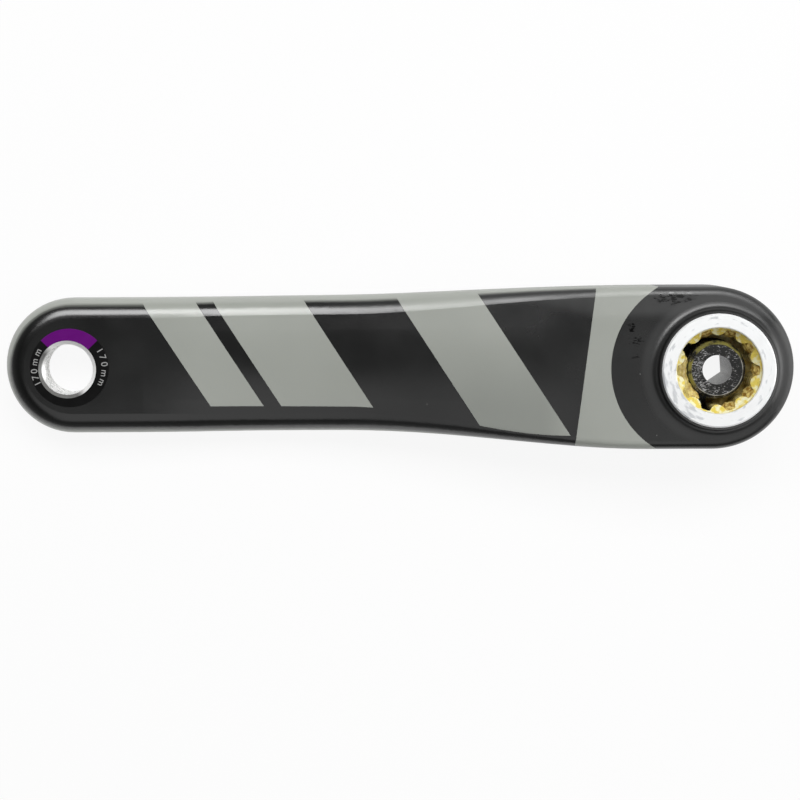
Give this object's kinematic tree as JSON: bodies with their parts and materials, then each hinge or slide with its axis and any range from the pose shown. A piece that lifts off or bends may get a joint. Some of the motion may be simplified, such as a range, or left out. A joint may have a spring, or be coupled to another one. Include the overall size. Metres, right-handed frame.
{
  "type": "bicycle crank arm",
  "caption": "Left bicycle crank arm: a slim carbon moulding with a threaded pedal eye, a splined spindle socket in an aluminium insert and a hollow captive bolt.",
  "frame": {"origin": "on the spindle axis, in the shoulder face of the spindle insert that meets the bearing", "axes": "+Z along the spindle axis, inboard and out of the socket; -X from the spindle axis towards the pedal axis"},
  "size_m": [0.2067, 0.0421, 0.0295],
  "materials": {
    "satin_carbon": "satin black lacquer over carbon, with warm grey paint bands",
    "machined_aluminium": "bright turned face, greasy brown in the spline socket",
    "bare_aluminium": "bare cut thread",
    "blackened_steel": "black oxide, oily and mottled",
    "plain_steel": "plain, oily",
    "white_nylon": "smooth",
    "black_anodised": "black anodised, satin",
    "printed_label": "black print with a purple arc"
  },
  "bodies": {
    "arm": {"crank_arm": "satin_carbon", "spindle_insert": "machined_aluminium", "pedal_insert": "bare_aluminium", "thrust_washer": "plain_steel", "friction_washer": "white_nylon", "extractor_cap": "black_anodised", "size_label": "printed_label"},
    "bolt": {"crank_bolt": "blackened_steel"}
  },
  "joints": [
    {"name": "bolt_spin", "type": "hinge", "parent": "arm", "child": "bolt", "pos_m": [0, 0, -0.015], "axis": [0, 0, 1], "continuous": true}
  ]
}
